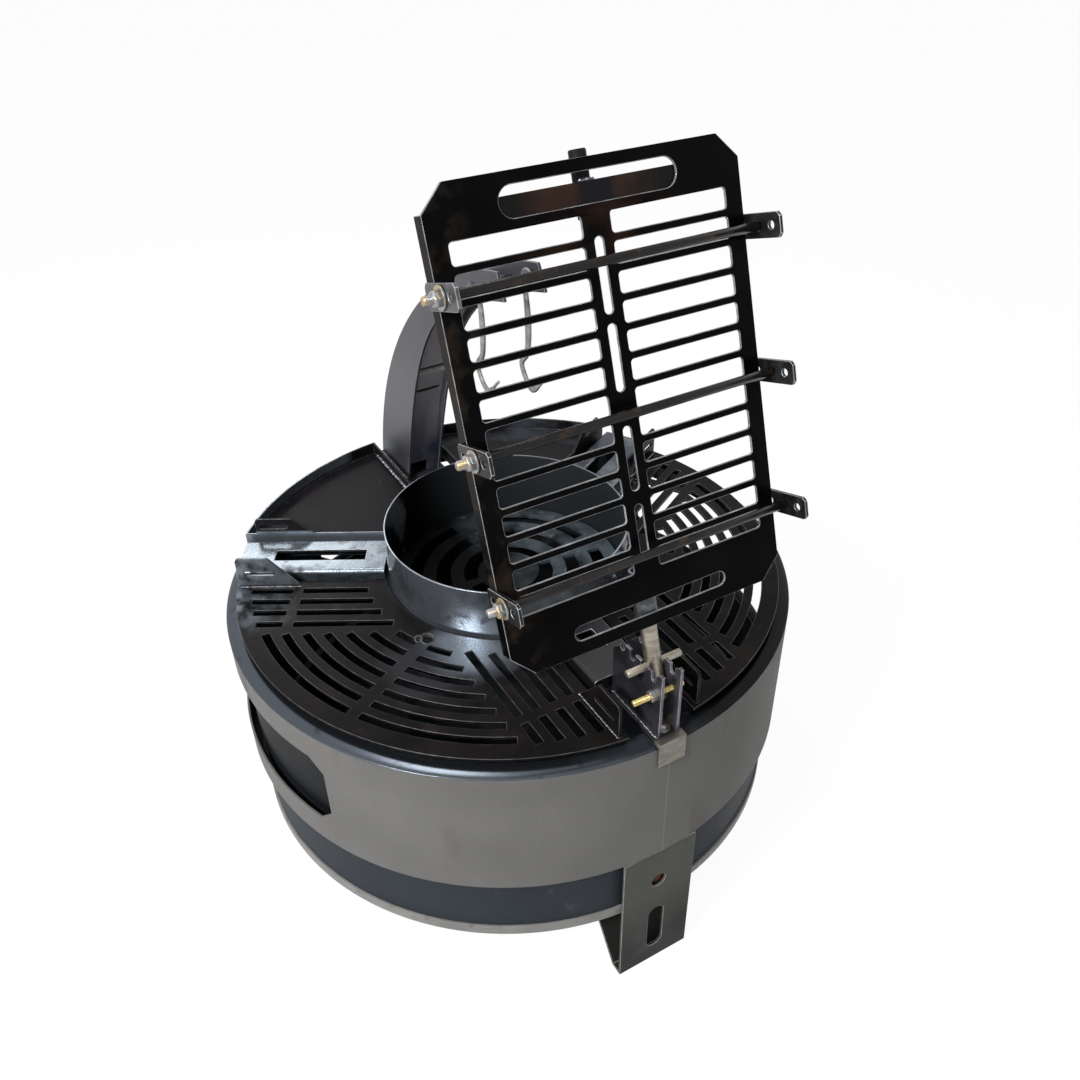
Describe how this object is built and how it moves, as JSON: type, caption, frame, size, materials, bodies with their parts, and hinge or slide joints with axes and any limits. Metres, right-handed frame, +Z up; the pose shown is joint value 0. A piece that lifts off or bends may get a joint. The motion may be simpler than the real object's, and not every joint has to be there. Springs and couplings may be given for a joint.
{
  "type": "fire pit grill",
  "caption": "Round steel fire pit grill with slotted segment plates, an inner fire cylinder, a leaning turnable grill rack with clamp bars and a curved pot arm with hooks.",
  "frame": {"origin": "drum axis at floor level, under the middle of the bounding box", "axes": "+Z up along the drum axis; -Y towards the rack, which is the front; +X to the right seen from the front"},
  "size_m": [0.8, 0.808, 1.0663],
  "materials": {
    "grey_paint": "matte",
    "black_paint": "satin",
    "slate_paint": "satin",
    "oiled_plate": "satin",
    "bare_steel": "satin",
    "dark_steel": "satin",
    "zinc": "satin",
    "rust": "matte"
  },
  "bodies": {
    "stand": {"skirt_right": "grey_paint", "skirt_back": "grey_paint", "skirt_left": "grey_paint", "drum_right": "black_paint", "drum_back": "black_paint", "drum_left": "black_paint", "rim_ring": "grey_paint", "bottom_band": "grey_paint", "drum_floor": "black_paint", "fire_cylinder": "black_paint", "plate_ledge": "black_paint", "grate_ledge": "black_paint", "rail_front": "bare_steel", "rail_left": "bare_steel", "rail_right": "bare_steel", "leg_front": "grey_paint", "leg_left": "grey_paint", "leg_right": "grey_paint", "leg_bolts": "rust", "bracket_base": "bare_steel", "bracket_cheek_left": "bare_steel", "bracket_cheek_right": "bare_steel", "bracket_bolt": "zinc", "stop_stud": "zinc", "stop_nuts": "zinc", "arm_base": "slate_paint", "arm_bolts": "zinc", "arm_cheek_left": "slate_paint", "arm_cheek_right": "slate_paint", "arm_web": "slate_paint", "arm_back": "slate_paint", "hanger_rods": "dark_steel"},
    "post": {"shaft": "dark_steel", "cross_pin": "dark_steel"},
    "rack": {"rack_frame": "black_paint", "rack_crossbar": "rust", "rack_stub": "dark_steel", "rack_sleeve": "dark_steel", "set_screw": "zinc"},
    "clamp_bottom": {"clamp_bottom_rod": "dark_steel", "clamp_bottom_plate_left": "dark_steel", "clamp_bottom_plate_right": "dark_steel"},
    "flange_nut_bottom": {"flange_nut_bottom": "zinc"},
    "clamp_middle": {"clamp_middle_rod": "dark_steel", "clamp_middle_plate_left": "dark_steel", "clamp_middle_plate_right": "dark_steel"},
    "flange_nut_middle": {"flange_nut_middle": "zinc"},
    "clamp_top": {"clamp_top_rod": "dark_steel", "clamp_top_plate_left": "dark_steel", "clamp_top_plate_right": "dark_steel"},
    "flange_nut_top": {"flange_nut_top": "zinc"},
    "hook_left": {"hook_left": "bare_steel"},
    "hook_right": {"hook_right": "bare_steel"},
    "grill_plate_left": {"grill_plate_left": "oiled_plate"},
    "grill_plate_right": {"grill_plate_right": "oiled_plate"},
    "tray_left": {"tray_left": "oiled_plate"},
    "tray_right": {"tray_right": "oiled_plate"},
    "fire_grate": {"fire_grate": "oiled_plate"}
  },
  "joints": [
    {"name": "rack_tilt", "type": "hinge", "parent": "stand", "child": "post", "pos_m": [0, -0.357, 0.53], "axis": [1, 0, 0], "range_deg": [0, 20]},
    {"name": "rack_spin", "type": "hinge", "parent": "post", "child": "rack", "pos_m": [0, -0.357, 0.53], "axis": [0, 0.309, 0.9511], "range_deg": [-45, 45]},
    {"name": "clamp_bottom_slide", "type": "slide", "parent": "rack", "child": "clamp_bottom", "axis": [0, 0.309, 0.9511], "range_m": [-0.055, 0.055]},
    {"name": "flange_nut_bottom_turn", "type": "hinge", "parent": "clamp_bottom", "child": "flange_nut_bottom", "pos_m": [-0.189, -0.34741, 0.6825], "axis": [1, 0, 0], "continuous": true},
    {"name": "clamp_middle_slide", "type": "slide", "parent": "rack", "child": "clamp_middle", "axis": [0, 0.309, 0.9511], "range_m": [-0.055, 0.055]},
    {"name": "flange_nut_middle_turn", "type": "hinge", "parent": "clamp_middle", "child": "flange_nut_middle", "pos_m": [-0.189, -0.29982, 0.82896], "axis": [1, 0, 0], "continuous": true},
    {"name": "clamp_top_slide", "type": "slide", "parent": "rack", "child": "clamp_top", "axis": [0, 0.309, 0.9511], "range_m": [-0.055, 0.055]},
    {"name": "flange_nut_top_turn", "type": "hinge", "parent": "clamp_top", "child": "flange_nut_top", "pos_m": [-0.189, -0.25223, 0.97542], "axis": [1, 0, 0], "continuous": true},
    {"name": "hook_left_swing", "type": "hinge", "parent": "stand", "child": "hook_left", "pos_m": [-0.016, 0.01, 0.868], "axis": [1, 0, 0], "range_deg": [-35, 35]},
    {"name": "hook_right_swing", "type": "hinge", "parent": "stand", "child": "hook_right", "pos_m": [0.016, -0.05, 0.887], "axis": [1, 0, 0], "range_deg": [-35, 35]},
    {"name": "grill_plate_left_lift", "type": "slide", "parent": "stand", "child": "grill_plate_left", "axis": [0, 0, 1], "range_m": [0, 0.06]},
    {"name": "grill_plate_right_lift", "type": "slide", "parent": "stand", "child": "grill_plate_right", "axis": [0, 0, 1], "range_m": [0, 0.06]},
    {"name": "tray_left_lift", "type": "slide", "parent": "stand", "child": "tray_left", "axis": [0, 0, 1], "range_m": [0, 0.08]},
    {"name": "tray_right_lift", "type": "slide", "parent": "stand", "child": "tray_right", "axis": [0, 0, 1], "range_m": [0, 0.08]},
    {"name": "fire_grate_lift", "type": "slide", "parent": "stand", "child": "fire_grate", "axis": [0, 0, 1], "range_m": [0, 0.12]}
  ]
}
